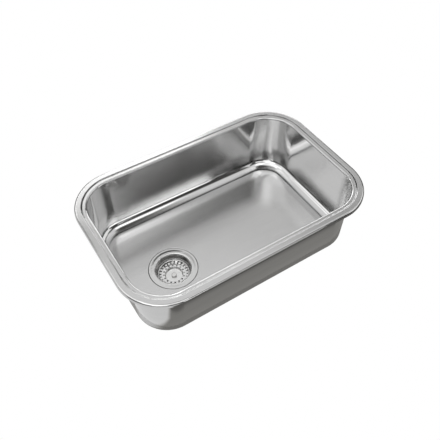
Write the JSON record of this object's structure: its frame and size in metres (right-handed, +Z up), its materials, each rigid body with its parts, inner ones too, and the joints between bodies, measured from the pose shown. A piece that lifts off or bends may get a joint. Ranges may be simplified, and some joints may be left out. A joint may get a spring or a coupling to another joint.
{
  "type": "kitchen sink",
  "caption": "Single-bowl pressed stainless kitchen sink with a stepped, rolled rim, rounded corners and an offset basket strainer waste that lifts out and turns.",
  "frame": {"origin": "middle of the plane that the rim's lower edge rests on, which is the worktop's face", "axes": "+X along the bowl away from the waste, +Y towards the back, +Z up out of the bowl"},
  "size_m": [0.608, 0.4, 0.3319],
  "materials": {
    "bowl_steel": "satin",
    "seal_foam": "matt closed-cell foam",
    "damping_rubber": "matt",
    "strainer_steel": "turned satin",
    "seal_rubber": "matt",
    "ring_fibre": "pressed fibre",
    "nut_plastic": "moulded",
    "spring_steel": "plain",
    "washer_plastic": "moulded",
    "tail_chrome": "plated",
    "basket_steel": "polished",
    "plate_steel": "satin",
    "knob_steel": "polished"
  },
  "bodies": {
    "sink": {"bowl": "bowl_steel", "rim_seal": "seal_foam", "damping_pad": "damping_rubber", "strainer_body": "strainer_steel", "flange_seal": "seal_rubber", "lower_gasket": "seal_rubber", "friction_ring": "ring_fibre", "lock_nut": "nut_plastic", "outlet_cross": "strainer_steel", "catch_ring": "spring_steel", "outlet_washer": "washer_plastic", "tailpiece": "tail_chrome", "coupling_nut": "tail_chrome"},
    "basket_stopper": {"stopper": "seal_rubber", "backing_washer": "spring_steel"},
    "basket": {"basket_shell": "basket_steel", "centre_plate": "plate_steel", "knob": "knob_steel", "stem": "knob_steel", "stem_nut": "spring_steel"}
  },
  "joints": [
    {"name": "basket_lift", "type": "slide", "parent": "sink", "child": "basket_stopper", "axis": [0, 0, 1], "range_m": [0, 0.23]},
    {"name": "basket_turn", "type": "hinge", "parent": "basket_stopper", "child": "basket", "pos_m": [-0.144, -0.016, -0.185], "axis": [0, 0, 1], "continuous": true}
  ]
}
